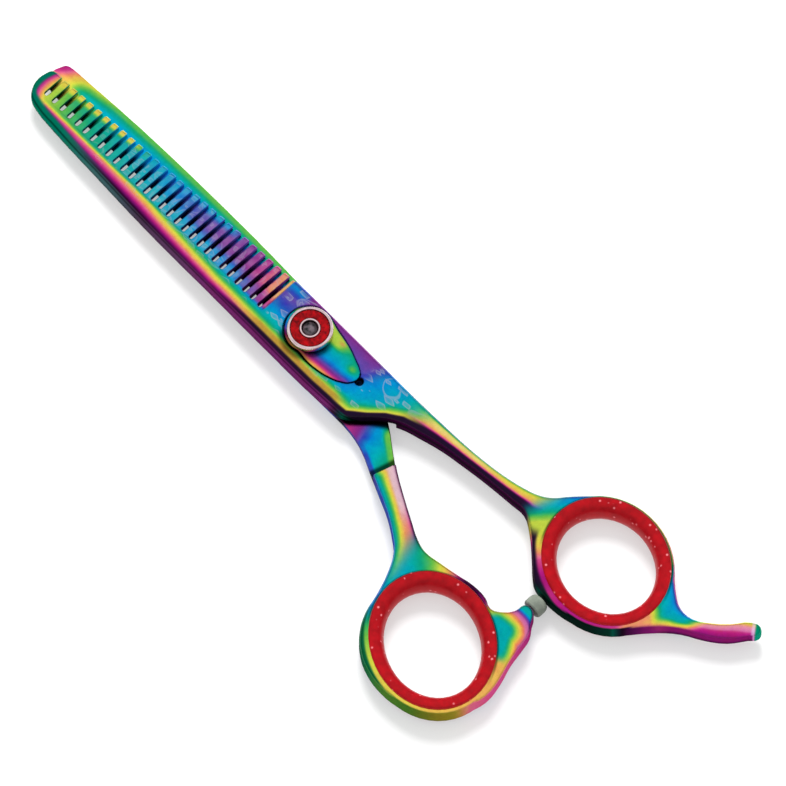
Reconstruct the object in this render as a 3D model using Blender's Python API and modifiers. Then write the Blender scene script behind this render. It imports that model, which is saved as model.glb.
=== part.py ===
"""Thinning shears for hairdressing, closed and lying on their back.

The comb half carries the toothed blade, the finger ring and the finger rest. The cutting half carries the
straight blade, the thumb ring and the stop. They turn on one bolt, whose tension is set by a knob.

+X runs from the pivot towards the rings, +Y towards the cutting blade's spine, +Z out of the knob's face.
The origin is on the pivot axis, on the back of the bolt's head, the plane that the shears rest on.
Every size below is in millimetres.
"""

import math

import bmesh
import bpy
from mathutils import Matrix, Vector

MM = 0.001

# Heights: the parting plane between the halves, and how far each half stands from it.
PART_Z = 3.0
RIDE_GAP = 0.15
BLADE_T = 2.4
EDGE_R = 1.0
STEP_R = 29.7
COMB_STEP_R = 23.0
# Share of the full thickness at each X, from the blade tips to the finger rest.
THICKNESS = ((-70.6, 0.52), (-8.4, 1.0), (14.0, 1.0), (36.0, 0.88), (84.0, 0.88), (98.0, 0.66))

# Finger rings: an oval insert in an oval eye. Semi-axes are those of the insert's flange.
# The rim is how far the steel reaches beyond that flange.
FINGER_RING = {"centre": (69.0, 7.05), "semi": (12.8, 11.3), "turn": -13.0, "rim": 0.5}
THUMB_RING = {"centre": (58.1, -25.9), "semi": (13.5, 11.4), "turn": -28.0, "rim": 0.6}
RING_HALF_T = 2.2
# The thumb ring's steel is thickest away from the lug, at this angle from its long axis.
RING_HEEL = 1.1
RING_HEEL_ANGLE = 262
RING_HEEL_SPREAD = 36
RING_SWELL = 0.1
FLANGE_LAP = 0.9
FLANGE_T = 0.6
INSERT_W = 2.8
FIT_GAP = 0.1

# Comb: square-ended slots between narrow teeth.
SLOTS = 29
SLOT_PITCH = 2.025
FIRST_SLOT_X = -66.95
SLOT_W = 0.78
ROOT_Y_TIP = -1.6
ROOT_Y_HEEL = -3.05
COMB_HEEL_X = -9.1

# Pivot: the bolt is keyed to the cutting half and turns in a bush in the comb half.
BOLT_HEAD_R = 3.7
BOLT_HEAD_T = 0.9
BOLT_KEY_HALF = 2.1
BOLT_SHAFT_R = 2.0
BOLT_THREAD_R = 1.4
BOLT_TOP_Z = 7.75
BUSH_R = 2.55
WASHER_R = 4.6
WASHER_T = 0.4
THRUST_WASHER_R = 3.0
THRUST_WASHER_T = 0.2
CLICK_WASHER_R = 3.05
CLICK_WASHER_Z = (6.1, 6.38)

# Tension spring and knob on the comb half's face.
LEAF_R = 4.6
LEAF_ROUND = (-0.5, 0.2)
LEAF_NOSE_X = 12.5
LEAF_T = 0.9
POCKET_DEPTH = 0.9
POCKET_GAP = 0.15
POCKET_NOSE_X = 12.65
NOSE_HOLE = (13.0, -0.3)
NOSE_HOLE_R = 0.85
KNOB_R = 4.2
KNOB_SKIRT_Z = 5.85
KNOB_WEB_Z = 6.5
KNOB_TOP_Z = 7.6
KNOB_FLOOR_Z = 7.05
KNOB_RECESS_R = 3.3
INLAY_OUT_R = 3.63
INLAY_IN_R = 1.9
INLAY_Z = (7.13, 7.31)

# Stop bumper between the rings, a soft plug on the cutting half's lug.
BUMPER_X = 65.6
BUMPER_R = 1.95
BUMPER_FOOT_Y = -8.5
BUMPER_TOP_Y = -5.85
BUMPER_STEM_R = 0.6
BUMPER_STEM_L = 2.2

TURN_STEPS = 36
RING_STEPS = 48

FACE_Z = PART_Z + BLADE_T
POCKET_Z = FACE_Z - POCKET_DEPTH
LEAF_TOP_Z = POCKET_Z + FIT_GAP + LEAF_T

RAINBOW_STEEL = ((0.10, 0.55, 0.60), 0.18, 1.0)
BLACK_STEEL = ((0.06, 0.06, 0.07), 0.25, 1.0)
BRIGHT_STEEL = ((0.86, 0.83, 0.80), 0.20, 1.0)
SPRING_STEEL = ((0.62, 0.63, 0.65), 0.25, 1.0)
RED_PLASTIC = ((0.66, 0.02, 0.04), 0.20, 0.0)
RED_ANODISED = ((0.55, 0.01, 0.02), 0.35, 0.6)
SILICONE = ((0.50, 0.56, 0.50), 0.40, 0.0)
NYLON = ((0.86, 0.85, 0.80), 0.45, 0.0)


# ---------------------------------------------------------------- scene and materials

def clear_scene():
    for obj in list(bpy.data.objects):
        bpy.data.objects.remove(obj, do_unlink=True)


def new_collection(name, hidden=False):
    collection = bpy.data.collections.new(name)
    bpy.context.scene.collection.children.link(collection)
    collection.hide_render = hidden
    return collection


def material(name, finish):
    colour, roughness, metallic = finish
    made = bpy.data.materials.new(name)
    made.use_nodes = True
    shader = made.node_tree.nodes["Principled BSDF"]
    shader.inputs["Base Color"].default_value = (*colour, 1.0)
    shader.inputs["Roughness"].default_value = roughness
    shader.inputs["Metallic"].default_value = metallic
    return made


# ---------------------------------------------------------------- outlines

def on_ring(ring, grow, degrees):
    """A point of the oval that lies `grow` outside the insert's flange, at an angle from its long axis."""
    a, b = ring["semi"]
    t = math.radians(degrees)
    turn = math.radians(ring["turn"])
    x = (a + grow) * math.cos(t)
    y = (b + grow) * math.sin(t)
    return (
        ring["centre"][0] + x * math.cos(turn) - y * math.sin(turn),
        ring["centre"][1] + x * math.sin(turn) + y * math.cos(turn),
    )


def rim_arc(ring, start, end, count, extra=0.0):
    grow = ring["rim"] + extra
    return [on_ring(ring, grow, start + (end - start) * i / (count - 1)) for i in range(count)]


def oval(ring, grow):
    return [on_ring(ring, grow, 360 * i / RING_STEPS) for i in range(RING_STEPS)]


def thick_rim(ring, start, end, count):
    """Like rim_arc, but swelling smoothly to the ring's heel."""
    points = []
    for i in range(count):
        degrees = start + (end - start) * i / (count - 1)
        swell = RING_HEEL * math.exp(-((degrees - RING_HEEL_ANGLE) / RING_HEEL_SPREAD) ** 2)
        points.append(on_ring(ring, ring["rim"] + swell, degrees))
    return points


def comb_half_outline():
    """Anticlockwise from the comb's tip, along its back, the shank, the finger ring and the finger rest."""
    back = [(-70.2, -0.6), (-69.6, -2.3), (-68.1, -3.95), (-66.0, -4.7), (-61.5, -5.25), (-50.3, -5.97),
            (-34.3, -6.84), (-18.3, -7.2), (-4.0, -7.58), (12.0, -7.62)]
    heel = [(15.4, -7.2), (18.2, -4.9), (20.7, -2.45), (23.5, -0.6), (27.5, 0.65)]
    shank_under = [(32.5, 1.85), (36.5, 2.4), (40.5, 2.9), (44.5, 3.25), (48.5, 3.5), (51.4, 3.6)]
    stop_pad = [(54.3, 2.05), (58.5, -1.4), (61.4, -4.0), (62.9, -5.0), (65.6, -5.45), (69.0, -5.4),
                (71.6, -4.95)]
    under_ring = rim_arc(FINGER_RING, -57, -28, 3)
    rest_under = [(84.3, 4.95), (87.4, 7.65), (91.3, 9.85), (94.6, 12.4), (96.8, 15.4)]
    rest_end = [(98.0, 17.1), (97.1, 18.4), (95.3, 17.9)]
    rest_over = [(92.9, 15.0), (90.4, 12.6), (87.5, 10.7), (84.6, 10.5), (82.0, 11.9)]
    over_ring = rim_arc(FINGER_RING, 50, 150, 7, extra=0.1)
    shank_over = [(55.2, 11.5), (53.1, 9.0), (51.0, 7.6), (48.5, 6.75), (44.9, 5.95), (40.9, 5.4),
                  (34.9, 4.98), (28.9, 4.88), (22.0, 4.85)]
    face = [(14.2, 5.0), (4.2, 5.2), (-8.8, 5.4)]
    tooth_tips = [(-21.0, 5.05), (-32.0, 4.65), (-46.0, 4.15), (-58.0, 3.55), (-66.0, 3.15)]
    tip = [(-68.4, 3.1), (-69.5, 2.7), (-70.05, 1.4)]
    return (back + heel + shank_under + stop_pad + under_ring + rest_under + rest_end + rest_over
            + over_ring + shank_over + face + tooth_tips + tip)


def cutting_half_outline():
    """Anticlockwise from the blade's tip, along the cutting edge, the shank, the thumb ring and its lug."""
    edge = [(-69.4, 0.7), (-67.6, 0.05), (-61.0, -0.05), (-50.0, -0.15), (-36.0, -0.4), (-21.0, -0.85),
            (-11.5, -1.3)]
    ride = [(-8.8, -2.3), (-6.0, -4.9), (-2.0, -6.6), (5.0, -7.2), (12.0, -7.3), (18.2, -7.6)]
    shank_under = [(22.2, -8.65), (26.2, -10.5), (30.7, -12.55), (34.7, -14.4), (38.0, -16.5),
                   (40.7, -18.7), (42.6, -21.8)]
    around_ring = thick_rim(THUMB_RING, 216, 372, 11)
    lug_out = [(72.4, -26.4), (71.8, -22.4), (70.5, -18.4), (69.8, -14.8), (69.2, -12.4), (67.9, -10.6)]
    lug_end = [(67.0, -9.2), (65.7, -8.6), (64.4, -9.1)]
    lug_in = [(64.1, -10.9), (62.8, -12.7), (60.6, -13.9)]
    over_ring = rim_arc(THUMB_RING, 112, 140, 3, extra=0.5)
    shank_over = [(48.0, -14.2), (44.7, -14.6), (41.9, -13.85), (38.7, -12.2), (34.7, -10.05),
                  (30.7, -7.75), (26.6, -5.0), (21.9, -1.6)]
    face = [(15.0, 2.0), (8.0, 4.2), (0.0, 5.45), (-10.4, 6.0)]
    spine = [(-20.0, 6.4), (-30.4, 6.6), (-42.0, 6.7), (-54.4, 6.5), (-64.0, 6.1), (-67.3, 5.95)]
    tip = [(-68.7, 5.6), (-69.3, 4.6), (-69.8, 2.9)]
    return (edge + ride + shank_under + around_ring + lug_out + lug_end + lug_in + over_ring
            + shank_over + face + spine + tip)


def leaf_outline(grow, nose_x):
    """A teardrop round the pivot with a blunt nose towards +X, fuller on its lower side."""
    over = [(nose_x, 0.3), (LEAF_NOSE_X - 0.9, 1.2 + grow), (9.6, 2.1 + grow), (7.4, 2.95 + grow),
            (5.2, 3.5 + grow), (3.2, 3.9 + grow)]
    radius = LEAF_R + grow
    round_end = []
    for degrees in range(70, 291, 20):
        angle = math.radians(degrees)
        round_end.append((LEAF_ROUND[0] + radius * math.cos(angle), LEAF_ROUND[1] + radius * math.sin(angle)))
    under = [(3.4, -4.4 - grow), (6.0, -4.25 - grow), (8.6, -3.7 - grow), (10.8, -2.75 - grow),
             (nose_x - 0.4, -1.6)]
    return over + round_end + under


# ---------------------------------------------------------------- shape tools

def make_curve(name, loop, half_t, bevel=0.0, bevel_steps=1, smooth=True, steps=3):
    """A flat filled curve centred on z = 0, whose widest outline passes through the points given."""
    data = bpy.data.curves.new(name, "CURVE")
    data.dimensions = "2D"
    data.fill_mode = "BOTH"
    data.extrude = (half_t - bevel) * MM
    data.bevel_depth = bevel * MM
    data.bevel_resolution = bevel_steps
    data.offset = -bevel * MM
    data.resolution_u = steps
    spline = data.splines.new("BEZIER" if smooth else "POLY")
    points = spline.bezier_points if smooth else spline.points
    points.add(len(loop) - 1)
    for point, (x, y) in zip(points, loop):
        if smooth:
            point.co = (x * MM, y * MM, 0)
            point.handle_left_type = "AUTO"
            point.handle_right_type = "AUTO"
        else:
            point.co = (x * MM, y * MM, 0, 1)
    spline.use_cyclic_u = True
    obj = bpy.data.objects.new(name, data)
    bpy.context.scene.collection.objects.link(obj)
    return obj


def curve_to_mesh(curve, collection):
    """The curve as a closed mesh object of the same name, with its caps welded to its sides."""
    bpy.context.view_layer.update()
    graph = bpy.context.evaluated_depsgraph_get()
    mesh = bpy.data.meshes.new_from_object(curve.evaluated_get(graph))
    mesh.transform(curve.matrix_world)
    name = curve.name
    bpy.data.objects.remove(curve)
    work = bmesh.new()
    work.from_mesh(mesh)
    bmesh.ops.remove_doubles(work, verts=work.verts, dist=0.002 * MM)
    bmesh.ops.recalc_face_normals(work, faces=work.faces)
    work.to_mesh(mesh)
    work.free()
    return new_object(name, mesh, collection)


def new_object(name, mesh, collection):
    obj = bpy.data.objects.new(name, mesh)
    collection.objects.link(obj)
    return obj


def plate(name, loop, z_low, z_high, collection, **options):
    """A solid plate between two heights, cut to the outline given."""
    half_t = (z_high - z_low) / 2
    curve = make_curve(name, loop, half_t, **options)
    curve.location.z = (z_low + half_t) * MM
    return curve_to_mesh(curve, collection)


def add_box(work, low, high):
    """Adds a box between two corners to a mesh being built."""
    size = Vector([(high[i] - low[i]) * MM for i in range(3)])
    centre = Vector([(high[i] + low[i]) / 2 * MM for i in range(3)])
    bmesh.ops.create_cube(work, size=1.0, matrix=Matrix.Translation(centre) @ Matrix.Diagonal((*size, 1.0)))


def boxes(name, corners, collection):
    """One object of separate boxes, each given by two corners."""
    mesh = bpy.data.meshes.new(name)
    work = bmesh.new()
    for low, high in corners:
        add_box(work, low, high)
    work.to_mesh(mesh)
    work.free()
    return new_object(name, mesh, collection)


def drum(name, radius, z_low, z_high, collection, centre=(0, 0), steps=TURN_STEPS):
    """A cylinder along Z."""
    mesh = bpy.data.meshes.new(name)
    work = bmesh.new()
    middle = Vector((centre[0], centre[1], (z_low + z_high) / 2)) * MM
    bmesh.ops.create_cone(work, cap_ends=True, segments=steps, radius1=radius * MM, radius2=radius * MM,
                          depth=(z_high - z_low) * MM, matrix=Matrix.Translation(middle))
    work.to_mesh(mesh)
    work.free()
    return new_object(name, mesh, collection)


def turned(name, profile, collection, closed=True, steps=TURN_STEPS):
    """A solid of revolution about Z. The (radius, height) profile runs down the outer side."""
    mesh = bpy.data.meshes.new(name)
    points = [(r * MM, 0, z * MM) for r, z in profile]
    edges = [(i, i + 1) for i in range(len(points) - 1)]
    if closed:
        edges.append((len(points) - 1, 0))
    mesh.from_pydata(points, edges, [])
    obj = new_object(name, mesh, collection)
    screw = obj.modifiers.new("Turn", "SCREW")
    screw.axis = "Z"
    screw.steps = steps
    screw.render_steps = steps
    screw.use_merge_vertices = True
    screw.merge_threshold = 0.001 * MM
    screw.use_smooth_shade = True
    return obj


def apply_modifiers(obj):
    """Replaces the mesh by its evaluated form, so that a Boolean can read it."""
    bpy.context.view_layer.update()
    graph = bpy.context.evaluated_depsgraph_get()
    mesh = bpy.data.meshes.new_from_object(obj.evaluated_get(graph))
    obj.modifiers.clear()
    obj.data = mesh
    work = bmesh.new()
    work.from_mesh(mesh)
    bmesh.ops.recalc_face_normals(work, faces=work.faces)
    work.to_mesh(mesh)
    work.free()
    return obj


def oval_tube(name, ring, section, collection):
    """Sweeps a closed (outward, upward) section round the oval of the ring's flange."""
    stations = []
    for i in range(RING_STEPS):
        degrees = 360 * i / RING_STEPS
        stations.append([(*on_ring(ring, out, degrees), PART_Z + up) for out, up in section])
    mesh = bpy.data.meshes.new(name)
    work = bmesh.new()
    loops = [[work.verts.new(Vector(point) * MM) for point in station] for station in stations]
    skin_between(work, loops, cyclic=True)
    bmesh.ops.recalc_face_normals(work, faces=work.faces)
    work.to_mesh(mesh)
    work.free()
    return new_object(name, mesh, collection)


def skin_between(work, loops, cyclic=False):
    count = len(loops[0])
    last = len(loops) if cyclic else len(loops) - 1
    for i in range(last):
        this, after = loops[i], loops[(i + 1) % len(loops)]
        for j in range(count):
            k = (j + 1) % count
            work.faces.new((this[j], after[j], after[k], this[k]))


def loft_along_x(name, stations, collection):
    """A solid between unlike (y, z) sections at given X, closed at both ends."""
    mesh = bpy.data.meshes.new(name)
    work = bmesh.new()
    loops = [[work.verts.new(Vector((x, y, z)) * MM) for y, z in section] for x, section in stations]
    skin_between(work, loops)
    work.faces.new(loops[0])
    work.faces.new(loops[-1])
    bmesh.ops.triangulate(work, faces=work.faces)
    bmesh.ops.recalc_face_normals(work, faces=work.faces)
    work.to_mesh(mesh)
    work.free()
    return new_object(name, mesh, collection)


def boolean(obj, other, operation, solver="EXACT"):
    modifier = obj.modifiers.new(f"{operation.title()} {other.name}", "BOOLEAN")
    modifier.operation = operation
    modifier.object = other
    modifier.solver = solver


def hide(*objects):
    for obj in objects:
        obj.hide_render = True
        obj.display_type = "WIRE"


def finish_part(obj, skin, crease_degrees=35):
    obj.data.materials.clear()
    obj.data.materials.append(skin)
    obj.data.shade_smooth()
    obj.data.set_sharp_from_angle(angle=math.radians(crease_degrees))


def thickness_share(x):
    """Straight lines between the stations of THICKNESS."""
    if x <= THICKNESS[0][0]:
        return THICKNESS[0][1]
    for (x0, t0), (x1, t1) in zip(THICKNESS, THICKNESS[1:]):
        if x <= x1:
            return t0 + (t1 - t0) * (x - x0) / (x1 - x0)
    return THICKNESS[-1][1]


def thin_along_x(obj):
    """Scales the height above and below the parting plane by the share at each X."""
    work = bmesh.new()
    work.from_mesh(obj.data)
    for x, _ in THICKNESS[1:-1]:
        everything = work.verts[:] + work.edges[:] + work.faces[:]
        bmesh.ops.bisect_plane(work, geom=everything, dist=1e-7, plane_co=(x * MM, 0, 0), plane_no=(1, 0, 0))
    for vertex in work.verts:
        rise = vertex.co.z - PART_Z * MM
        vertex.co.z = PART_Z * MM + rise * thickness_share(vertex.co.x / MM)
    work.to_mesh(obj.data)
    work.free()


def face_height(x):
    """Height of the comb half's face above the rest plane."""
    return PART_Z + BLADE_T * thickness_share(x)


# ---------------------------------------------------------------- pieces

def tooth_bevel(cutters):
    """Thins the teeth from their roots to their tips, and chamfers the tips."""
    tips = ((-72.0, 2.95), (-66.0, 3.15), (-58.0, 3.55), (-46.0, 4.15), (-32.0, 4.65), (-21.0, 5.05),
            (COMB_HEEL_X, 5.4))
    stations = []
    for x, tip_y in tips:
        share = (x - tips[0][0]) / (tips[-1][0] - tips[0][0])
        root_y = ROOT_Y_TIP - 0.3 + share * (ROOT_Y_HEEL - ROOT_Y_TIP)
        slope_z = PART_Z + 0.95 + 0.35 * share
        root_z = face_height(x) - 0.12
        stations.append((x, [(root_y, root_z + 3.0), (root_y, root_z), (tip_y - 0.5, slope_z),
                             (tip_y + 0.3, slope_z - 0.6), (tip_y + 1.5, slope_z - 0.6),
                             (tip_y + 1.5, root_z + 3.0)]))
    return loft_along_x("tooth_bevel", stations, cutters)


def back_bevel(cutters):
    """A facet along the comb's back, wide and shallow at the tip and narrow at the pivot."""
    backs = ((-72.5, -3.6, 3.4, 0.2), (-67.6, -4.5, 3.0, 0.24), (-62.3, -5.2, 2.7, 0.32),
             (-50.3, -6.05, 2.2, 0.42), (-34.3, -6.95, 1.9, 0.5), (-18.3, -7.35, 1.6, 0.5),
             (-1.3, -7.7, 1.35, 0.5), (20.0, -7.75, 1.2, 0.5))
    stations = []
    for x, back_y, width, slope in backs:
        top_z = face_height(x)
        over_z = top_z + 2.0
        stations.append((x, [(back_y + width, top_z), (back_y + width, over_z), (back_y - 3.0, over_z),
                             (back_y - 3.0, top_z - slope * (width + 3.0))]))
    return loft_along_x("back_bevel", stations, cutters)


def edge_bevel(cutters):
    """Grinds the back of the cutting blade down to its edge."""
    edges = ((-72.0, 0.1, 3.4), (-61.0, -0.05, 3.5), (-36.0, -0.4, 3.4), (-21.0, -0.85, 3.0),
             (-11.0, -1.35, 2.6))
    stations = []
    for x, edge_y, grind_y in edges:
        low_z = 2 * PART_Z - face_height(x)
        stations.append((x, [(grind_y, low_z), (edge_y, PART_Z - 0.5), (edge_y - 2.5, PART_Z - 0.5 + 0.2),
                             (edge_y - 2.5, low_z - 2.0), (grind_y, low_z - 2.0)]))
    return loft_along_x("edge_bevel", stations, cutters)


def slots(cutters):
    corners = []
    for i in range(SLOTS):
        x = FIRST_SLOT_X + i * SLOT_PITCH
        share = i / (SLOTS - 1)
        root_y = ROOT_Y_TIP + share * (ROOT_Y_HEEL - ROOT_Y_TIP)
        corners.append(((x - SLOT_W / 2, root_y, PART_Z - 1), (x + SLOT_W / 2, 9, FACE_Z + 1)))
    return boxes("slot_cutter", corners, cutters)


def ring_eye(ring, name, cutters):
    return plate(name, oval(ring, -FLANGE_LAP), PART_Z - 5, PART_Z + 5, cutters, smooth=False)


def ring_body(ring, name, cutters):
    grow = ring["rim"] + RING_SWELL
    low, high = PART_Z - RING_HALF_T, PART_Z + RING_HALF_T
    return plate(name, oval(ring, grow), low, high, cutters, bevel=0.6, bevel_steps=1, smooth=False)


def comb_blade(parts, cutters):
    obj = plate("comb_blade", comb_half_outline(), PART_Z - BLADE_T, PART_Z + BLADE_T, parts, bevel=EDGE_R,
                bevel_steps=2)
    thin_along_x(obj)
    body = ring_body(FINGER_RING, "finger_ring_body", cutters)
    eye = ring_eye(FINGER_RING, "finger_ring_eye", cutters)
    ride = drum("comb_ride", COMB_STEP_R, -2, PART_Z + RIDE_GAP, cutters, steps=96)
    under = boxes("comb_underside", [((-80, -15, -2), (4, 15, PART_Z + RIDE_GAP))], cutters)
    pocket = plate("leaf_pocket", leaf_outline(POCKET_GAP, POCKET_NOSE_X), POCKET_Z, FACE_Z + 2, cutters)
    nose_hole = drum("nose_hole", NOSE_HOLE_R, POCKET_Z - 0.8, FACE_Z + 3, cutters, NOSE_HOLE)
    bore = drum("bush_bore", BUSH_R + FIT_GAP, 0, FACE_Z + 1, cutters)
    recess = drum("washer_recess", WASHER_R + FIT_GAP, 0, PART_Z + WASHER_T + FIT_GAP, cutters)
    boolean(obj, body, "UNION")
    bevels = (tooth_bevel(cutters), back_bevel(cutters))
    cuts = (eye, ride, under, *bevels, slots(cutters), pocket, nose_hole, recess, bore)
    for cutter in cuts:
        boolean(obj, cutter, "DIFFERENCE", "MANIFOLD")
    hide(body, *cuts)
    return obj


def cutting_blade(parts, cutters):
    obj = plate("cutting_blade", cutting_half_outline(), PART_Z - BLADE_T, PART_Z + BLADE_T, parts,
                bevel=EDGE_R, bevel_steps=2)
    thin_along_x(obj)
    body = ring_body(THUMB_RING, "thumb_ring_body", cutters)
    eye = ring_eye(THUMB_RING, "thumb_ring_eye", cutters)
    ride = drum("cutting_ride", STEP_R, PART_Z - RIDE_GAP, 9, cutters, steps=96)
    above = boxes("cutting_overside", [((-80, -15, PART_Z - RIDE_GAP), (4, 15, 9))], cutters)
    seat = drum("bolt_head_seat", BOLT_HEAD_R + FIT_GAP, -1, BOLT_HEAD_T + FIT_GAP, cutters)
    half = BOLT_KEY_HALF + FIT_GAP
    key = boxes("bolt_key_hole", [((-half, -half, -1), (half, half, 9))], cutters)
    stem = turned("bumper_hole", [(0, 2.0), (BUMPER_STEM_R + FIT_GAP, 2.0),
                                  (BUMPER_STEM_R + FIT_GAP, -BUMPER_STEM_L - 0.2), (0, -BUMPER_STEM_L - 0.2)],
                  cutters, closed=False, steps=20)
    apply_modifiers(stem)
    stand_bumper(stem)
    boolean(obj, body, "UNION")
    cuts = (eye, ride, above, edge_bevel(cutters), seat, key, stem)
    for cutter in cuts:
        boolean(obj, cutter, "DIFFERENCE")
    hide(body, *cuts)
    return obj


def stand_bumper(obj):
    """Turns a piece made about Z so that it stands on the lug and points along +Y."""
    obj.location = Vector((BUMPER_X, BUMPER_FOOT_Y, PART_Z)) * MM
    obj.rotation_euler = (math.radians(-90), 0, 0)


def ring_insert(name, ring, parts):
    """A spool-shaped lining: a flange on each face of the ring and a rounded inner wall."""
    seat = RING_HALF_T + FIT_GAP
    top = seat + FLANGE_T
    groove = -FLANGE_LAP - FIT_GAP
    upper = [(groove, seat), (0, seat), (0, top - 0.22), (-0.25, top), (-1.15, top), (-1.9, top - 0.35),
             (-2.45, top - 1.0), (-INSERT_W, 0.6)]
    lower = [(out, -up) for out, up in reversed(upper)]
    return oval_tube(name, ring, upper + lower, parts)


def stop_bumper(parts):
    length = BUMPER_TOP_Y - BUMPER_FOOT_Y
    profile = [(0, length), (1.1, length), (1.6, length - 0.2), (1.85, length - 0.6), (BUMPER_R, length - 1.1),
               (BUMPER_R, 0.3), (1.75, 0.05), (BUMPER_STEM_R, 0.05), (BUMPER_STEM_R, -BUMPER_STEM_L + 0.2),
               (BUMPER_STEM_R - 0.2, -BUMPER_STEM_L), (0, -BUMPER_STEM_L)]
    obj = turned("stop_bumper", profile, parts, closed=False, steps=28)
    stand_bumper(obj)
    return obj


def leaf_spring(parts, cutters):
    low = POCKET_Z + FIT_GAP
    obj = plate("leaf_spring", leaf_outline(0, LEAF_NOSE_X), low - LEAF_T, low + LEAF_T, parts, bevel=0.55,
                bevel_steps=1)
    floor = boxes("leaf_floor", [((-9, -9, low - 3), (18, 9, low))], cutters)
    hole = drum("leaf_hole", BOLT_SHAFT_R + FIT_GAP, 0, 9, cutters)
    for cutter in (floor, hole):
        boolean(obj, cutter, "DIFFERENCE")
    hide(floor, hole)
    return obj


def pivot_bolt(parts, cutters):
    shoulder = LEAF_TOP_Z
    profile = [(0, BOLT_TOP_Z), (0.55, BOLT_TOP_Z - 0.06), (1.0, BOLT_TOP_Z - 0.25),
               (BOLT_THREAD_R, BOLT_TOP_Z - 0.6), (BOLT_THREAD_R, shoulder), (BOLT_SHAFT_R, shoulder - 0.1),
               (BOLT_SHAFT_R, BOLT_HEAD_T), (BOLT_HEAD_R, BOLT_HEAD_T), (BOLT_HEAD_R, 0.35),
               (BOLT_HEAD_R - 0.35, 0), (0, 0)]
    obj = apply_modifiers(turned("pivot_bolt", profile, parts, closed=False))
    half = BOLT_KEY_HALF
    key_top = PART_Z - RIDE_GAP - 0.25
    key = boxes("bolt_key", [((-half, -half, BOLT_HEAD_T - 0.3), (half, half, key_top))], cutters)
    pins = []
    for y in (-2.4, 2.4):
        pins.append(drum(f"bolt_pin_hole_{'low' if y < 0 else 'high'}", 0.5, -1, 0.5, cutters, (0, y), 16))
    boolean(obj, key, "UNION")
    for pin in pins:
        boolean(obj, pin, "DIFFERENCE")
    hide(key, *pins)
    return obj


def washer(name, inner, outer, z_low, z_high, parts):
    """A flat ring about the pivot with broken edges."""
    nip = min(0.08, (z_high - z_low) / 4)
    profile = [(outer - nip, z_high), (outer, z_high - nip), (outer, z_low + nip), (outer - nip, z_low),
               (inner, z_low), (inner, z_high)]
    return turned(name, profile, parts)


def tension_knob(parts):
    hole = BOLT_THREAD_R + FIT_GAP
    profile = [(3.78, KNOB_TOP_Z), (4.05, KNOB_TOP_Z - 0.1), (KNOB_R, KNOB_TOP_Z - 0.32),
               (KNOB_R, KNOB_SKIRT_Z + 0.3), (KNOB_R - 0.25, KNOB_SKIRT_Z), (KNOB_RECESS_R, KNOB_SKIRT_Z),
               (KNOB_RECESS_R, KNOB_WEB_Z), (hole, KNOB_WEB_Z), (hole, KNOB_TOP_Z - 0.15),
               (hole + 0.12, KNOB_TOP_Z), (INLAY_IN_R - 0.12, KNOB_TOP_Z), (INLAY_IN_R, KNOB_TOP_Z - 0.12),
               (INLAY_IN_R, KNOB_FLOOR_Z), (INLAY_OUT_R, KNOB_FLOOR_Z), (INLAY_OUT_R, KNOB_TOP_Z - 0.12)]
    return turned("tension_knob", profile, parts, steps=48)


def build():
    clear_scene()
    parts = new_collection("thinning_shears")
    cutters = new_collection("cutters", hidden=True)
    rainbow = material("rainbow_coated_steel", RAINBOW_STEEL)
    black = material("black_oxide_steel", BLACK_STEEL)
    bright = material("polished_steel", BRIGHT_STEEL)
    spring = material("spring_steel", SPRING_STEEL)
    red = material("red_glitter_plastic", RED_PLASTIC)
    inlay = material("red_anodised_aluminium", RED_ANODISED)
    silicone = material("grey_silicone", SILICONE)
    nylon = material("nylon", NYLON)

    comb = comb_blade(parts, cutters)
    cutting = cutting_blade(parts, cutters)
    leaf = leaf_spring(parts, cutters)
    bolt = pivot_bolt(parts, cutters)
    finger_lining = ring_insert("finger_ring_insert", FINGER_RING, parts)
    thumb_lining = ring_insert("thumb_ring_insert", THUMB_RING, parts)
    bumper = stop_bumper(parts)
    shaft_hole = BOLT_SHAFT_R + FIT_GAP
    ride_washer = washer("ride_washer", shaft_hole, WASHER_R, PART_Z - 0.05, PART_Z + WASHER_T, parts)
    bush = washer("pivot_bush", shaft_hole, BUSH_R, PART_Z + WASHER_T + FIT_GAP, POCKET_Z - 0.02, parts)
    thrust_z = LEAF_TOP_Z + FIT_GAP
    thrust = washer("thrust_washer", shaft_hole, THRUST_WASHER_R, thrust_z, thrust_z + THRUST_WASHER_T, parts)
    click = washer("click_washer", BOLT_THREAD_R + 0.15, CLICK_WASHER_R, *CLICK_WASHER_Z, parts)
    knob = tension_knob(parts)
    knob_ring = washer("knob_inlay", INLAY_IN_R + FIT_GAP, INLAY_OUT_R - FIT_GAP, *INLAY_Z, parts)

    for obj in (comb, cutting, leaf):
        finish_part(obj, rainbow)
    finish_part(bolt, black)
    for obj in (thrust, click):
        finish_part(obj, spring)
    finish_part(knob, bright)
    finish_part(knob_ring, inlay)
    for obj in (finger_lining, thumb_lining):
        finish_part(obj, red, crease_degrees=60)
    finish_part(bumper, silicone)
    for obj in (ride_washer, bush):
        finish_part(obj, nylon)


build()
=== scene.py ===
"""Looks of the thinning shears: rainbow-coated steel, red glitter ring inserts and a red tension knob.

The coating is an oxide film whose colour follows its thickness, which is given here as a phase. Each steel
piece is a dense, softly rounded copy of its CAD solid and carries five values on its vertices: "coat" is the
film's colour, with painted highlights in places, "shade" is painted shade that darkens it, "wall" is 1 where
the steel stands upright and mirrors little, "glow" is a faint painted light in shaded places, and "etched" is
the strength of the tracery.
Sizes in this file are in millimetres unless a name says otherwise; the frame is in metres.
"""

import math

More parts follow.
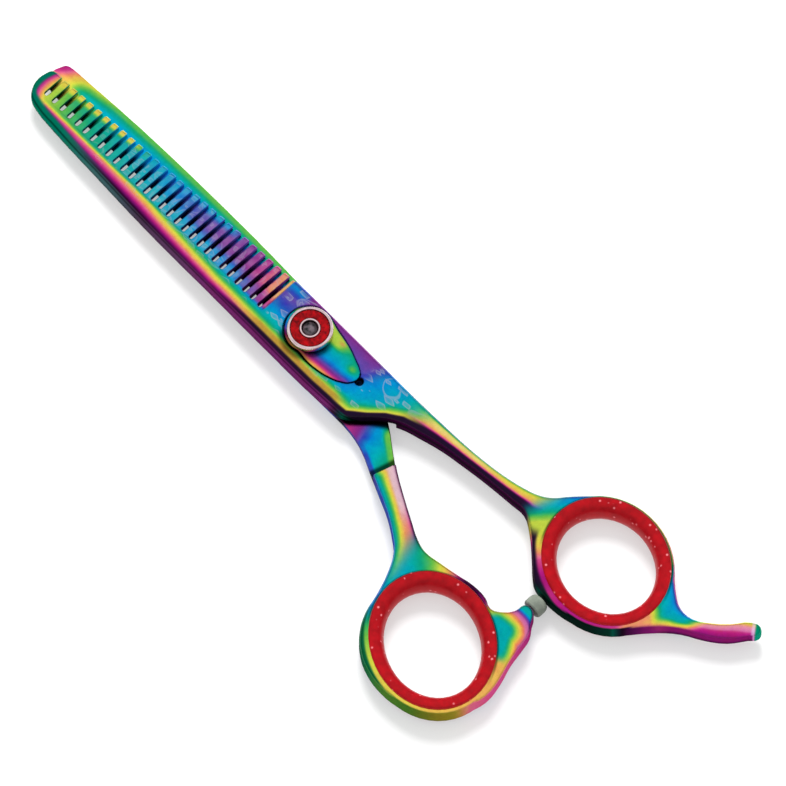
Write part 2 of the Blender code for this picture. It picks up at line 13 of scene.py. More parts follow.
import bmesh
import bpy
import numpy as np
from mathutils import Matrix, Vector


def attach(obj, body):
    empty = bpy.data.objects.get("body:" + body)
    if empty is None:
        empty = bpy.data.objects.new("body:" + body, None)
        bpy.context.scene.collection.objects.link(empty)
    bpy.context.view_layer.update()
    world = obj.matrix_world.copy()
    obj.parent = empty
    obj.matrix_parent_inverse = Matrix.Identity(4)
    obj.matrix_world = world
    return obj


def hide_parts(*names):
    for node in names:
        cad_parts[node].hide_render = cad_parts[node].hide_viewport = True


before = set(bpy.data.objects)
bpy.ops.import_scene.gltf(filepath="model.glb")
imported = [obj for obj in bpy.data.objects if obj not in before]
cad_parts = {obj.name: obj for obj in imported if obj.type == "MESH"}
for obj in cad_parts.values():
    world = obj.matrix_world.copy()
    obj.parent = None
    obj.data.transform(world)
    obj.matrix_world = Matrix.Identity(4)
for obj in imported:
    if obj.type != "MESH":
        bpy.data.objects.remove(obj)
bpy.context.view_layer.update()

MM = 0.001
PART_Z = 3.0                                    # the plane in which the two halves meet
COMB_THICKNESS = 2.4                            # at the knob; it gets thinner towards both ends
FINGER_CENTRE = np.array((69.0, 7.05))
FINGER_OVAL = (12.8, 11.3)                      # half the length and width of the lining's outline
FINGER_TILT = -13.0
THUMB_CENTRE = np.array((58.1, -25.9))
THUMB_OVAL = (13.5, 11.4)
THUMB_TILT = -28.0
NECK_X = (12, 15.4, 18.2, 20.7, 23.5, 27.5, 32.5)
NECK_Y = (-7.5, -7.2, -4.9, -2.45, -0.6, 0.65, 1.85)
NECK_SLOPE = 0.74                               # turns a distance along Y into one square to the neck's edge
NOSE_HOLE = (13.0, -0.3)
LUG_CENTRE = (65.4, -15.7)
LEAF_GAP = 0.14                                 # between the leaf spring and its pocket's wall


# ---------------------------------------------------------------- small tools

def smoothstep(low, high, value):
    t = np.clip((value - low) / (high - low), 0.0, 1.0)
    return t * t * (3.0 - 2.0 * t)


def span(value, start, full, still, end):
    """1 between full and still, fading to 0 at start and at end."""
    return smoothstep(start, full, value) * smoothstep(end, still, value)


def blend(first, second, share):
    return first + (second - first) * share


def mix(first, second, share):
    """Blends colours, with one share for each vertex."""
    return first + (second - first) * np.asarray(share)[..., None]


def linear(colour):
    """A display colour as Blender's linear one."""
    return tuple(c / 12.92 if c <= 0.04045 else ((c + 0.055) / 1.055) ** 2.4 for c in colour) + (1.0,)


def welded_copy(node, name):
    """A new object with the CAD node's shape, its split vertices joined."""
    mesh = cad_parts[node].data.copy()
    mesh.name = name
    mesh.materials.clear()
    work = bmesh.new()
    work.from_mesh(mesh)
    bmesh.ops.remove_doubles(work, verts=work.verts, dist=2e-7)
    bmesh.ops.dissolve_degenerate(work, edges=work.edges, dist=1e-7)
    bmesh.ops.recalc_face_normals(work, faces=work.faces)
    work.to_mesh(mesh)
    work.free()
    obj = bpy.data.objects.new(name, mesh)
    bpy.context.scene.collection.objects.link(obj)
    return obj


def apply_modifiers(obj):
    bpy.context.view_layer.update()
    graph = bpy.context.evaluated_depsgraph_get()
    mesh = bpy.data.meshes.new_from_object(obj.evaluated_get(graph))
    obj.modifiers.clear()
    obj.data = mesh


def dense_copy(node, name, voxel):
    """The CAD solid remeshed finely, with its edges slightly rounded."""
    obj = welded_copy(node, name)
    remesh = obj.modifiers.new("Remesh", "REMESH")
    remesh.mode = "VOXEL"
    remesh.voxel_size = voxel * MM
    remesh.adaptivity = 0.0
    apply_modifiers(obj)
    soften = obj.modifiers.new("Soften", "SMOOTH")
    soften.factor = 0.5
    soften.iterations = 3
    apply_modifiers(obj)
    obj.data.shade_smooth()
    return obj


def coordinates(mesh):
    co = np.empty(len(mesh.vertices) * 3, np.float32)
    mesh.vertices.foreach_get("co", co)
    return co.reshape(-1, 3).astype(float)


def normals(mesh):
    found = np.empty(len(mesh.vertices) * 3, np.float32)
    mesh.vertex_normals.foreach_get("vector", found)
    return found.reshape(-1, 3).astype(float)


def diffuse(mesh, values, rounds):
    """Averages a per-vertex value with its neighbours', a number of times."""
    ends = np.empty(len(mesh.edges) * 2, np.int32)
    mesh.edges.foreach_get("vertices", ends)
    a, b = ends.reshape(-1, 2).T
    count = len(mesh.vertices)
    degree = np.bincount(a, minlength=count) + np.bincount(b, minlength=count) + 1e-9
    values = values.reshape(count, -1).copy()
    for _ in range(rounds):
        for column in range(values.shape[1]):
            line = values[:, column]
            total = np.bincount(a, line[b], count) + np.bincount(b, line[a], count)
            values[:, column] = 0.5 * line + 0.5 * total / degree
    return values


def put_attribute(mesh, name, values):
    made = mesh.attributes.new(name, "FLOAT", "POINT")
    made.data.foreach_set("value", np.asarray(values, np.float32))


def put_colour(mesh, name, colours):
    """Stores display colours as linear ones."""
    colours = np.clip(colours, 0.0, 1.0)
    flat = np.where(colours <= 0.04045, colours / 12.92, ((colours + 0.055) / 1.055) ** 2.4)
    made = mesh.attributes.new(name, "FLOAT_COLOR", "POINT")
    opaque = np.ones((len(colours), 1))
    made.data.foreach_set("color", np.hstack((flat, opaque)).astype(np.float32).ravel())


# ---------------------------------------------------------------- material nodes

def new_material(name):
    """A material, its node tree and its shader."""
    made = bpy.data.materials.new(name)
    made.use_nodes = True
    return made, made.node_tree, made.node_tree.nodes["Principled BSDF"]


def object_place(tree):
    return tree.nodes.new("ShaderNodeTexCoord").outputs["Object"]


def read_attribute(tree, name):
    """The outputs of a node that reads one of the values on the vertices."""
    made = tree.nodes.new("ShaderNodeAttribute")
    made.attribute_name = name
    return made.outputs


def add_noise(tree, vector, scale, detail=3.0):
    noise = tree.nodes.new("ShaderNodeTexNoise")
    noise.inputs["Scale"].default_value = scale
    noise.inputs["Detail"].default_value = detail
    tree.links.new(vector, noise.inputs["Vector"])
    return noise.outputs["Fac"]


def map_range(tree, value, low, high, out_low, out_high):
    made = tree.nodes.new("ShaderNodeMapRange")
    made.inputs["From Min"].default_value = low
    made.inputs["From Max"].default_value = high
    made.inputs["To Min"].default_value = out_low
    made.inputs["To Max"].default_value = out_high
    tree.links.new(value, made.inputs["Value"])
    return made.outputs["Result"]


def math_node(tree, operation, first, second):
    made = tree.nodes.new("ShaderNodeMath")
    made.operation = operation
    for socket, value in zip(made.inputs, (first, second)):
        if isinstance(value, (int, float)):
            socket.default_value = value
        else:
            tree.links.new(value, socket)
    return made.outputs[0]


def mix_colour(tree, kind, factor, first, second):
    made = tree.nodes.new("ShaderNodeMix")
    made.data_type = "RGBA"
    made.blend_type = kind
    for socket, value in ((made.inputs["Factor"], factor), (made.inputs[6], first), (made.inputs[7], second)):
        if isinstance(value, (int, float, tuple)):
            socket.default_value = value
        else:
            tree.links.new(value, socket)
    return made.outputs[2]


def two_tone(tree, value, low, high, first, second):
    """A ramp from the first colour at the low value to the second at the high one."""
    made = tree.nodes.new("ShaderNodeValToRGB")
    for stop, position, colour in zip(made.color_ramp.elements, (low, high), (first, second)):
        stop.position = position
        stop.color = colour
    tree.links.new(value, made.inputs["Fac"])
    return made.outputs["Color"]


def add_bump(tree, shader, height, strength):
    bump = tree.nodes.new("ShaderNodeBump")
    bump.inputs["Strength"].default_value = strength
    bump.inputs["Distance"].default_value = 0.1 * MM
    tree.links.new(height, bump.inputs["Height"])
    tree.links.new(bump.outputs["Normal"], shader.inputs["Normal"])


# ---------------------------------------------------------------- materials

def etched_leaves(tree, place, turn):
    """Pointed leaves scattered in one direction: a bright outline round a fainter blade."""
    leaf_rim = 0.34                             # of the distance between neighbouring leaves
    lay = tree.nodes.new("ShaderNodeMapping")
    lay.inputs["Rotation"].default_value = (0.0, 0.0, math.radians(turn))
    lay.inputs["Scale"].default_value = (0.45, 1.0, 0.0)
    lay.inputs["Location"].default_value = (0.001 * turn, 0.0, 0.0)
    tree.links.new(place, lay.inputs["Vector"])
    cells = tree.nodes.new("ShaderNodeTexVoronoi")
    cells.distance = "MINKOWSKI"
    cells.inputs["Exponent"].default_value = 1.15
    cells.inputs["Scale"].default_value = 520.0
    tree.links.new(lay.outputs["Vector"], cells.inputs["Vector"])
    pick = tree.nodes.new("ShaderNodeSeparateColor")
    tree.links.new(cells.outputs["Color"], pick.inputs["Color"])
    chosen = math_node(tree, "GREATER_THAN", pick.outputs["Red"], 0.35)
    reach = cells.outputs["Distance"]
    beyond = math_node(tree, "SUBTRACT", reach, leaf_rim)
    outline = map_range(tree, math_node(tree, "ABSOLUTE", beyond, 0.0), 0.01, 0.07, 1.0, 0.0)
    blade = map_range(tree, reach, 0.05, leaf_rim, 0.1, 0.5)
    inside = math_node(tree, "LESS_THAN", reach, leaf_rim)
    blade = math_node(tree, "MULTIPLY", blade, inside)
    return math_node(tree, "MULTIPLY", chosen, math_node(tree, "MAXIMUM", outline, blade))


def tracery(tree, place):
    """Long curling stems, and leaves in three directions, wherever the steel is etched."""
    stems = math_node(tree, "MULTIPLY", add_noise(tree, place, 190.0, 0.5), 3.0)
    line = map_range(tree, math_node(tree, "PINGPONG", stems, 0.5), 0.02, 0.06, 0.7, 0.0)
    for turn in (35.0, 100.0, -40.0):
        line = math_node(tree, "MAXIMUM", line, etched_leaves(tree, place, turn))
    return math_node(tree, "MULTIPLY", line, read_attribute(tree, "etched")["Fac"])


def film_material():
    """Steel under an oxide film: mottled colour, fine polishing lines, and etched stems and leaves."""
    made, tree, shader = new_material("rainbow_film_steel")
    place = object_place(tree)
    coat = read_attribute(tree, "coat")["Color"]
    cloud = add_noise(tree, place, 520.0)
    grain = add_noise(tree, place, 1500.0, 2.0)
    vary = tree.nodes.new("ShaderNodeHueSaturation")
    tree.links.new(map_range(tree, cloud, 0.25, 0.75, 0.482, 0.518), vary.inputs["Hue"])
    tree.links.new(map_range(tree, grain, 0.25, 0.75, 0.93, 1.07), vary.inputs["Value"])
    tree.links.new(coat, vary.inputs["Color"])
    line = tracery(tree, place)
    traced = mix_colour(tree, "MIX", math_node(tree, "MULTIPLY", line, 0.5),
                        vary.outputs["Color"], (0.52, 0.56, 0.70, 1.0))
    # Painted shade darkens the coat.
    shade = read_attribute(tree, "shade")["Fac"]
    tree.links.new(mix_colour(tree, "MULTIPLY", 1.0, traced, shade), shader.inputs["Base Color"])

    stretch = tree.nodes.new("ShaderNodeMapping")
    stretch.inputs["Scale"].default_value = (0.12, 1.0, 1.0)
    tree.links.new(place, stretch.inputs["Vector"])
    polish = add_noise(tree, stretch.outputs["Vector"], 900.0, 4.0)
    gloss = map_range(tree, polish, 0.0, 1.0, 0.14, 0.30)
    dulled = math_node(tree, "ADD", gloss, math_node(tree, "MULTIPLY", line, 0.3))
    tree.links.new(dulled, shader.inputs["Roughness"])
    add_bump(tree, shader, math_node(tree, "SUBTRACT", polish, line), 0.05)

    wall = read_attribute(tree, "wall")["Fac"]
    tree.links.new(map_range(tree, wall, 0.0, 1.0, 1.0, 0.03), shader.inputs["Metallic"])
    tree.links.new(map_range(tree, wall, 0.0, 1.0, 0.5, 0.0), shader.inputs["Specular IOR Level"])
    # A faint painted glow in the coat's own colour.
    tree.links.new(coat, shader.inputs["Emission Color"])
    tree.links.new(read_attribute(tree, "glow")["Fac"], shader.inputs["Emission Strength"])
    return made


def glitter_plastic():
    """Deep red plastic with flakes of foil in it, cloudy, painted a shade darker where it turns away, with
    the painted shade and painted glow that each lining carries.
    """
    made, tree, shader = new_material("red_glitter_plastic")
    place = object_place(tree)
    cells = tree.nodes.new("ShaderNodeTexVoronoi")
    cells.inputs["Scale"].default_value = 1450.0
    tree.links.new(place, cells.inputs["Vector"])
    pick = tree.nodes.new("ShaderNodeSeparateColor")
    tree.links.new(cells.outputs["Color"], pick.inputs["Color"])
    chosen = math_node(tree, "GREATER_THAN", pick.outputs["Red"], 0.91)
    near = map_range(tree, cells.outputs["Distance"], 0.1, 0.42, 0.75, 0.0)
    flake = math_node(tree, "MULTIPLY", chosen, near)
    cloud = add_noise(tree, place, 700.0, 4.0)
    body = two_tone(tree, cloud, 0.32, 0.68, linear((0.46, 0.01, 0.04)), linear((0.58, 0.02, 0.06)))
    turn = tree.nodes.new("ShaderNodeLayerWeight")
    turn.inputs["Blend"].default_value = 0.3
    edge = mix_colour(tree, "MIX", turn.outputs["Facing"], body, linear((0.50, 0.0, 0.04)))
    shaded = mix_colour(tree, "MULTIPLY", 1.0, edge, read_attribute(tree, "shade")["Fac"])
    sparkling = mix_colour(tree, "MIX", flake, shaded, linear((0.90, 0.55, 0.58)))

    # What it throws on the floor is grey, so that the floor stays white.
    path = tree.nodes.new("ShaderNodeLightPath")
    seen = mix_colour(tree, "MIX", path.outputs["Is Diffuse Ray"], sparkling, (0.2, 0.2, 0.2, 1.0))
    tree.links.new(seen, shader.inputs["Base Color"])
    tree.links.new(map_range(tree, cloud, 0.3, 0.7, 0.3, 0.42), shader.inputs["Roughness"])
    shader.inputs["Specular IOR Level"].default_value = 0.12
    shader.inputs["Emission Color"].default_value = linear((0.75, 0.04, 0.10))
    tree.links.new(read_attribute(tree, "glow")["Fac"], shader.inputs["Emission Strength"])
    return made


def metal(name, dark, light, roughness, scale=700.0, metallic=1.0, bump_height=0.02, specular=0.5):
    """Plain metal, rubber or nylon, whose tone and gloss vary a little with turning or moulding marks."""
    made, tree, shader = new_material(name)
    marks = add_noise(tree, object_place(tree), scale, 4.0)
    tone = two_tone(tree, marks, 0.3, 0.7, linear(dark), linear(light))
    tree.links.new(tone, shader.inputs["Base Color"])
    rough = map_range(tree, marks, 0.0, 1.0, roughness - 0.05, roughness + 0.1)
    tree.links.new(rough, shader.inputs["Roughness"])
    add_bump(tree, shader, marks, bump_height)
    shader.inputs["Metallic"].default_value = metallic
    shader.inputs["Specular IOR Level"].default_value = specular
    return made


# ---------------------------------------------------------------- the film and what it is measured by

FILM_COLOURS = (
    (0.00, (0.00, 0.03, 0.02)),
    (0.06, (0.00, 0.13, 0.10)),
    (0.12, (0.00, 0.46, 0.36)),
    (0.20, (0.16, 0.02, 0.15)),
    (0.26, (0.42, 0.06, 0.38)),
    (0.33, (0.72, 0.12, 0.50)),
    (0.38, (0.90, 0.42, 0.55)),
    (0.43, (0.94, 0.62, 0.38)),
    (0.48, (0.92, 0.80, 0.32)),
    (0.52, (0.84, 0.86, 0.28)),
    (0.58, (0.42, 0.76, 0.30)),
    (0.65, (0.06, 0.66, 0.50)),
    (0.72, (0.02, 0.68, 0.72)),
    (0.79, (0.02, 0.58, 0.84)),
    (0.86, (0.18, 0.34, 0.72)),
    (0.93, (0.42, 0.28, 0.66)),
    (1.00, (0.52, 0.18, 0.54)),
    (1.06, (0.76, 0.20, 0.52)),
    (1.12, (0.93, 0.50, 0.38)),
    (1.18, (0.94, 0.80, 0.30)),
    (1.24, (0.62, 0.82, 0.28)),
    (1.31, (0.10, 0.68, 0.48)),
    (1.38, (0.02, 0.66, 0.68)),
)


def film_colour(phase):
    """The film's display colour at each phase."""
    stops = [stop for stop, _ in FILM_COLOURS]
    return np.stack([np.interp(phase, stops, [c[i] for _, c in FILM_COLOURS]) for i in range(3)], axis=-1)


DARK_FILM = film_colour(0.19)
TEAL_FILM = film_colour(0.12)
FROST = np.array((0.84, 0.76, 0.82))
# Lilac, orchid, pale pink and cream below are painted highlights.
LILAC_HIGHLIGHT = np.array((0.92, 0.80, 0.94))
ORCHID_HIGHLIGHT = np.array((0.93, 0.74, 0.88))
PINK_HIGHLIGHT = np.array((0.90, 0.80, 0.87))
ROSE = np.array((0.90, 0.62, 0.78))
CREAM_HIGHLIGHT = np.array((0.96, 0.86, 0.66))
STRAW = np.array((0.80, 0.78, 0.60))
OLIVE = np.array((0.70, 0.56, 0.20))
AMBER = np.array((0.93, 0.60, 0.35))
MUSTARD = np.array((0.66, 0.60, 0.16))
LEAF_GREEN = np.array((0.38, 0.62, 0.20))
SEA_GREEN = np.array((0.04, 0.42, 0.27))
BOTTLE_GREEN = np.array((0.04, 0.40, 0.24))
DEEP_GREEN = np.array((0.0, 0.14, 0.10))
SLATE = np.array((0.40, 0.38, 0.44))
PLUM = np.array((0.56, 0.26, 0.50))


def edge_line(points, low, high, side, step=1.0):
    """The outline's Y at any X: the highest or lowest vertex at each station, joined up."""
    stations = np.arange(low, high + step / 2, step)
    found = []
    for x in stations:
        near = points[np.abs(points[:, 0] - x) < 0.6 * step]
        found.append(near[:, 1].max() if side > 0 else near[:, 1].min())
    return lambda x: np.interp(x, stations, found)


def share_across(points, upper_span, lower_span):
    """0 at a bar's upper outline and 1 at its lower one; each outline is followed over a span of X."""
    x, y, _ = points.T
    top = edge_line(points, *upper_span, 1)(x)
    low = edge_line(points, *lower_span, -1)(x)
    return np.clip((top - y) / np.maximum(top - low, 1.0), 0, 1)


def azimuth(x, y, centre):
    """The angle of each spot about a centre, from 0 to 360 degrees."""
    return np.degrees(np.arctan2(y - centre[1], x - centre[0])) % 360


def outward(soft, turn):
    """How strongly the steel faces away from a ring's centre."""
    return soft[:, 0] * np.cos(np.radians(turn)) + soft[:, 1] * np.sin(np.radians(turn))


def oval_distance(x, y, centre, semi, degrees):
    """About how far a spot lies outside an oval whose long axis is turned by an angle."""
    turn = math.radians(degrees)
    along = (x - centre[0]) * math.cos(turn) + (y - centre[1]) * math.sin(turn)
    across = (y - centre[1]) * math.cos(turn) - (x - centre[0]) * math.sin(turn)
    reach = np.hypot(along / semi[0], across / semi[1])
    return (reach - 1.0) * np.hypot(along, across) / np.maximum(reach, 1e-6)


def neck_depth(x, y):
    """How far a spot lies inside the sloping lower edge of the comb half's neck."""
    return (y - np.interp(x, NECK_X, NECK_Y)) * NECK_SLOPE


def knob_shadow(x, y):
    """The shade that the tension knob casts on what lies beside and below it."""
    axis = np.hypot(x, y)
    across = (0.75 * x - 0.66 * y) / np.maximum(axis, 1e-6)
    down = (0.3 * x - y) / np.maximum(axis, 1e-6)
    beside = 0.75 * smoothstep(5.6, 4.4, axis) * smoothstep(0.35, 0.85, across)
    below = 0.7 * smoothstep(6.2, 5.2, axis) * smoothstep(0.2, 0.6, down) * smoothstep(5.5, 2.0, x)
    return 1.0 - np.maximum(beside, below) * smoothstep(2.5, 4.0, axis)


def lining_shadow(beyond, turn):
    """Dims the steel just beyond a lining, along the top and upper left of the ring."""
    round_the_corner = np.maximum(smoothstep(190, 215, turn), smoothstep(35, 0, turn))
    lit = np.maximum(smoothstep(0.05, 0.5, beyond), round_the_corner)
    return blend(0.4, 1.0, lit)[:, None]


# ---------------------------------------------------------------- colours of the comb half

BAND_PHASES = (0.20, 0.33, 0.38, 0.43, 0.50, 0.58, 0.66, 0.74)
BAND_X = (-62, -40, -20, 0)
BAND_DEPTHS = (
    (1.20, 1.75, 2.35, 2.85, 3.30, 3.80, 4.40, 5.20),
    (1.15, 1.95, 2.50, 2.85, 3.50, 4.10, 4.60, 5.40),
    (0.75, 1.30, 1.70, 2.00, 2.50, 3.05, 3.60, 4.30),
    (1.40, 1.60, 1.75, 1.95, 2.40, 3.00, 3.50, 4.10),
)
# Painted reflections: the dark lines that the comb's rounded back mirrors.
MIRRORED_LINES = ((0.15, 0.22), (-0.95, 0.13), (-1.9, 0.25))     # each line's place across the back and its width


def back_bands(x, depth):
    """Phase of the bands along the comb's back, which spread and narrow along it."""
    phase = np.full_like(x, BAND_PHASES[0])
    for k in range(len(BAND_PHASES) - 1):
        near = np.interp(x, BAND_X, [row[k] for row in BAND_DEPTHS])
        far = np.interp(x, BAND_X, [row[k + 1] for row in BAND_DEPTHS])
        phase += (BAND_PHASES[k + 1] - BAND_PHASES[k]) * np.clip((depth - near) / (far - near), 0, 1)
    return phase


def comb_blade_film(points, bands):
    """The teeth, the strip behind them and the blade's end."""
    x, y, _ = points.T
    root = np.interp(x, (-66, -62, -56, -50, -42, -34, -25, -18, -13, -10),
                     (0.54, 0.595, 0.645, 0.68, 0.715, 0.74, 0.77, 0.80, 0.95, 1.06))
    tip = np.interp(x, (-66, -62, -56, -50, -43, -37, -30, -24, -18, -14, -11, -9.5),
                    (0.54, 0.62, 0.66, 0.70, 0.74, 0.78, 0.90, 0.97, 1.00, 1.06, 1.13, 1.16))
    teeth = blend(root, tip, smoothstep(-1.5, 1.2, y))
    teeth = blend(teeth, 0.77, smoothstep(2.6, 4.2, y) * span(x, -46, -36, -26, -20))
    tooth_end = np.interp(x, (-66, -58, -46, -32, -21, -9), (3.15, 3.55, 4.15, 4.65, 5.05, 5.4))
    teeth = blend(teeth, 0.49, smoothstep(2.0, 0.7, tooth_end - y) * smoothstep(-44, -50, x))
    blade = film_colour(blend(np.minimum(bands, 0.76), teeth, smoothstep(-3.3, -2.2, y)))
    patches = 0.20 + 0.10 * np.sin(1.9 * x) * np.sin(2.3 * y)
    blade = mix(blade, FROST, smoothstep(-68, -30, x) * smoothstep(-3.6, -2.0, y) * patches)

    # The end's rim is teal, and its rainbow runs inward from there.
    end = edge_line(points[:, (1, 0, 2)], -5, 3, -1, 0.5)
    inward = x - end(np.clip(y, -4.5, 2.5))
    rainbow = np.interp(inward, (1.2, 1.7, 2.2, 2.8, 3.6), (0.33, 0.36, 0.42, 0.48, 0.52))
    end_film = mix(TEAL_FILM, film_colour(rainbow), smoothstep(0.9, 1.5, inward))
    return mix(blade, end_film, smoothstep(4.2, 2.6, inward))


def comb_body_film(x, y, depth, bands):
    """The face round the knob, and the neck between it and the shank."""
    phase = np.interp(y, (-3.8, -2.6, 0.0, 2.5, 5.0), (0.70, 0.76, 0.86, 0.93, 1.00))
    left = np.interp(y, (-3.8, -2.4, -0.5, 2.2, 4.2, 5.0), (0.68, 0.75, 0.84, 0.92, 0.80, 0.88))
    phase = blend(phase, left, smoothstep(-3.5, -6.0, x))
    run = x + 0.7 * (3 - y)
    right = np.interp(run, (12, 14, 16, 18, 21, 24, 27, 30),
                      (0.96, 0.88, 0.81, 0.775, 0.74, 0.67, 0.56, 0.50))
    phase = blend(phase, right, smoothstep(10.5, 15.0, x + 0.3 * (3 - y)))
    body = film_colour(blend(np.maximum(bands, 0.46), phase, smoothstep(3.3, 4.6, depth)))
    body = mix(body, OLIVE, 0.75 * smoothstep(2.9, 2.4, depth) * smoothstep(-16, -6, x))
    body = mix(DARK_FILM, body, smoothstep(1.35, 1.8, depth))
    inward = neck_depth(x, y)
    edge_phase = np.interp(inward, (0.9, 1.35, 1.8, 2.4, 3.1), (0.49, 0.535, 0.60, 0.69, 0.74))
    neck = mix(DARK_FILM, film_colour(edge_phase), smoothstep(0.75, 1.1, inward))
    neck = mix(neck, film_colour(phase), smoothstep(2.2, 3.8, inward))
    return mix(body, neck, smoothstep(11.0, 15.0, x))


def comb_shank_film(points):
    """Stripes along the shank, with a painted cream highlight in the middle of it."""
    across = share_across(points, (20, 56), (24, 52))
    phase = np.interp(across, (0.0, 0.10, 0.2, 0.34, 0.50, 0.58, 0.66, 0.74),
                      (0.76, 0.66, 0.54, 0.49, 0.45, 0.38, 0.28, 0.21))
    shank = mix(DARK_FILM, film_colour(phase), smoothstep(0.72, 0.60, across))
    # Painted highlight: cream laid over the middle of the shank.
    light = span(across, 0.12, 0.25, 0.40, 0.55) * span(points[:, 0], 24, 30, 38, 46)
    return mix(shank, CREAM_HIGHLIGHT, 0.45 * light)


def finger_ring_film(points, soft):
    """The rim by the angle about the ring's centre, and the web on each side by the depth below its edge."""
    x, y, _ = points.T
    turn = azimuth(x, y, FINGER_CENTRE)
    phase = np.interp(turn,
                      (0, 20, 45, 90, 135, 160, 170, 185, 200, 215, 235, 270, 300, 325, 340, 352, 360),
                      (0.71, 0.69, 0.57, 0.52, 0.60, 0.74, 0.72, 0.66, 0.54, 0.46, 0.36, 0.33, 0.33, 0.35,
                       0.42, 0.56, 0.71))
    beside_web = span(turn, 140, 155, 176, 186) + span(turn, 8, 14, 38, 48)
    phase = phase + 0.24 * np.clip(outward(soft, turn) - 0.2, 0, 0.8) * beside_web
    inset = edge_line(points, 46, 90, 1)(x) - y
    left_web = np.interp(inset, (0.5, 1.1, 1.9, 3.4, 5.0, 6.6, 8.0),
                         (0.92, 0.86, 0.79, 0.74, 0.67, 0.58, 0.53))
    right_web = np.interp(inset, (0.5, 1.1, 1.9, 4.0, 5.3, 6.4, 7.2),
                          (0.90, 0.82, 0.76, 0.71, 0.58, 0.50, 0.42))
    phase = blend(phase, left_web, smoothstep(59.0, 57.0, x) * smoothstep(140, 150, turn))
    from_right = np.minimum(turn, 360 - turn)
    phase = blend(phase, right_web, smoothstep(79.0, 80.5, x) * smoothstep(60, 50, from_right))
    ring = mix(film_colour(phase), STRAW, 0.5 * span(turn, 40, 60, 130, 150))

    beyond = oval_distance(x, y, FINGER_CENTRE, FINGER_OVAL, FINGER_TILT)
    near_phase = np.interp(turn, (200, 212, 224, 240), (0.51, 0.47, 0.36, 0.32))
    far = smoothstep(0.5, 1.2, beyond - 0.35 * smoothstep(222, 205, turn))
    low_left = mix(film_colour(near_phase), DARK_FILM, far)
    ring = mix(ring, low_left, span(turn, 196, 206, 245, 262) * smoothstep(6.0, 3.0, beyond))
    ring = mix(ring, DEEP_GREEN, span(turn, 240, 256, 322, 338) * smoothstep(0.7, 1.15, beyond))
    return ring * lining_shadow(beyond, turn)


def from_rest_end(x, y):
    """How far back from the end of the finger rest each spot lies, along the rest."""
    along = (x - 84) * 0.79 + (y - 8) * 0.61
    return along.max() - along


def finger_rest_film(points):
    """Stripes along the finger rest, a painted orchid highlight along its middle, a painted lilac highlight
    near its end and a green cap.
    """
    x, y, _ = points.T
    back = from_rest_end(x, y)
    across = share_across(points, (82, 97), (82, 97))
    near_ring = np.interp(across, (0, 0.12, 0.3, 0.5, 0.66, 0.78, 0.9, 1.0),
                          (0.90, 0.82, 0.73, 0.70, 0.55, 0.47, 0.36, 0.30))
    far_out = np.interp(across, (0, 0.1, 0.2, 0.32, 0.5, 0.75, 1.0),
                        (0.60, 0.54, 0.47, 0.40, 0.36, 0.32, 0.26))
    rest = film_colour(blend(near_ring, far_out, smoothstep(86.5, 90.5, x)))
    # Painted highlights: orchid along the rest's middle and lilac near its end.
    rest = mix(rest, ORCHID_HIGHLIGHT, 0.4 * span(across, 0.2, 0.34, 0.5, 0.62) * smoothstep(87, 91, x))
    rest = mix(rest, LILAC_HIGHLIGHT, 0.7 * span(back, 1.0, 1.3, 1.6, 1.9))
    return mix(rest, TEAL_FILM * 1.25, smoothstep(1.25, 0.95, back))


def comb_back(x, girth):
    """The film on the comb's rounded back, and the painted shade of the dark lines that it mirrors along it.
    """
    back = film_colour(np.interp(x, (-70, -52, -44, -34, -24, 12, 14, 17),
                                 (0.12, 0.12, 0.15, 0.23, 0.25, 0.25, 0.18, 0.06)))
    back = mix(back, SLATE, 0.55 * span(x, -62, -50, -28, -14))
    back = mix(back, PLUM, 0.5 * span(x, -30, -16, 12, 16))
    lines = sum(np.exp(-((girth - place) / width) ** 2) for place, width in MIRRORED_LINES)
    return back, np.clip(1.0 - 0.8 * lines, 0.15, 1)


def comb_walls(colour, shade, points, soft, wall):
    """Lays the film of the upright walls over the faces': it differs with the way that they face, as does the
    painted shade that darkens the walls.
    """
    x, y, z = points.T
    turn = azimuth(x, y, FINGER_CENTRE)
    ring_phase = np.interp(turn, (0, 170, 185, 200, 215, 240, 255, 300, 318, 332, 345, 360),
                           (0.29, 0.60, 0.55, 0.50, 0.24, 0.20, 0.07, 0.07, 0.09, 0.24, 0.28, 0.29))
    ring_dim = np.interp(turn, (0, 60, 120, 170, 200, 215, 240, 255, 300, 330, 345, 360),
                         (0.8, 0.7, 0.7, 0.6, 0.4, 0.5, 0.4, 0.35, 0.35, 0.45, 0.8, 0.8))
    on_ring = wall * span(x, 51, 55, 83, 86)
    colour = mix(colour, film_colour(ring_phase), on_ring)
    shade = blend(shade, ring_dim, on_ring)
    shank_wall = mix(film_colour(0.20), film_colour(0.26), 0.35 + 0.35 * np.sin(z * 3.0))
    on_shank = wall * span(x, 19, 23, 51, 55)
    colour = mix(colour, shank_wall, on_shank)
    shade = blend(shade, blend(0.75, 0.45, np.clip(-soft[:, 1], 0, 1)), on_shank)
    shade = shade * blend(1.0, 0.45, wall * span(x, 11.5, 14.5, 21, 25))
    rest_wall = mix(film_colour(0.30), film_colour(0.24), smoothstep(3.4, 2.0, z))
    facing_down = smoothstep(0.1, -0.3, soft[:, 1] - soft[:, 0])
    on_rest = wall * smoothstep(83, 86, x) * smoothstep(1.3, 1.6, from_rest_end(x, y)) * facing_down
    colour = mix(colour, rest_wall, on_rest)
    shade = shade * blend(1.0, 0.75, on_rest)
    return colour, shade


